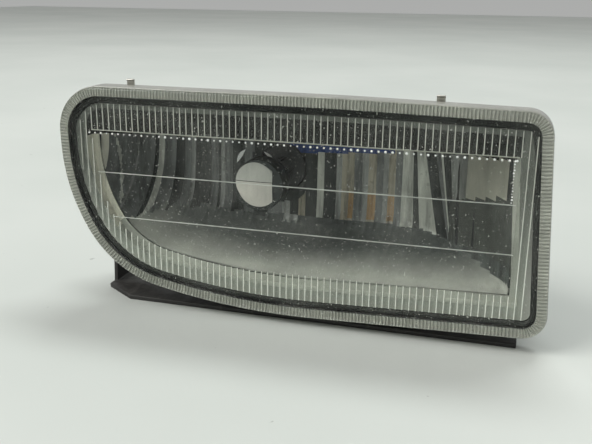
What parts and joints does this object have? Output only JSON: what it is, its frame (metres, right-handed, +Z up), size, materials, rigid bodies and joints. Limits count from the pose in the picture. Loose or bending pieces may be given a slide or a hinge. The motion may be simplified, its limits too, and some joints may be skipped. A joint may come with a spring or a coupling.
{
  "type": "fog light",
  "caption": "Slim bumper fog light with a swept lower corner: clear fluted lens, bright reflector and bulb in a black shell that tilts on a flat steel bracket.",
  "frame": {"origin": "centre of the lamp's box, at the underside of the bracket's flat foot, on the surface it stands on", "axes": "+Z up, -Y the way the lamp shines, +X to the right as seen from in front of the lens; long side along X"},
  "size_m": [0.2092, 0.0952, 0.1001],
  "materials": {
    "lens_clear": "clear moulded plastic, scratched and dusty, fluted round its edge",
    "seal_black": "matte black sealing compound",
    "housing_black": "fine-grained black moulding",
    "reflector_bright": "bright vacuum-metallised, slightly hazed",
    "shield_grey": "pressed bright steel, dulled",
    "zinc_steel": "zinc-plated",
    "bracket_paint": "black painted pressed steel",
    "nylon_white": "natural nylon",
    "brass_yellow": "plain brass",
    "bulb_clear": "clear quartz",
    "bulb_black": "black heat-proof plastic",
    "tungsten": "drawn wire"
  },
  "bodies": {
    "base": {"bracket": "bracket_paint", "pivot_bolt_left": "zinc_steel", "pivot_bolt_right": "zinc_steel", "pivot_washer_left": "nylon_white", "pivot_washer_right": "nylon_white", "aim_bush": "nylon_white"},
    "screw": {"aim_screw": "zinc_steel", "aim_screw_retainer": "zinc_steel"},
    "lamp": {"housing": "housing_black", "lens": "lens_clear", "lens_seal": "seal_black", "reflector": "reflector_bright", "bulb_shield": "shield_grey", "shield_rivet": "zinc_steel", "pivot_insert_left": "brass_yellow", "pivot_insert_right": "brass_yellow", "aim_nut": "nylon_white", "lens_clip_left": "zinc_steel", "lens_clip_right": "zinc_steel", "breather_upper": "seal_black", "breather_lower": "seal_black"},
    "bulb": {"bulb_base": "bulb_black", "bulb_oring": "seal_black", "bulb_glass": "bulb_clear", "filament": "tungsten", "filament_post_left": "tungsten", "filament_post_right": "tungsten", "terminal_left": "brass_yellow", "terminal_right": "brass_yellow"}
  },
  "joints": [
    {"name": "lamp_tilt", "type": "hinge", "parent": "base", "child": "lamp", "pos_m": [0, -0.0136, 0.049], "axis": [1, 0, 0], "range_deg": [-2.5, 2.5]},
    {"name": "aim_screw_turn", "type": "hinge", "parent": "base", "child": "screw", "pos_m": [0.044, 0.0284, 0.0115], "axis": [0, 1, 0], "range_deg": [-592, 592]},
    {"name": "bulb_twist", "type": "hinge", "parent": "lamp", "child": "bulb", "pos_m": [-0.019, 0.0239, 0.056], "axis": [0, 1, 0], "range_deg": [0, 45]}
  ],
  "couplings": [
    {"joint": "aim_screw_turn", "follows": "lamp_tilt", "ratio": -235.6}
  ]
}
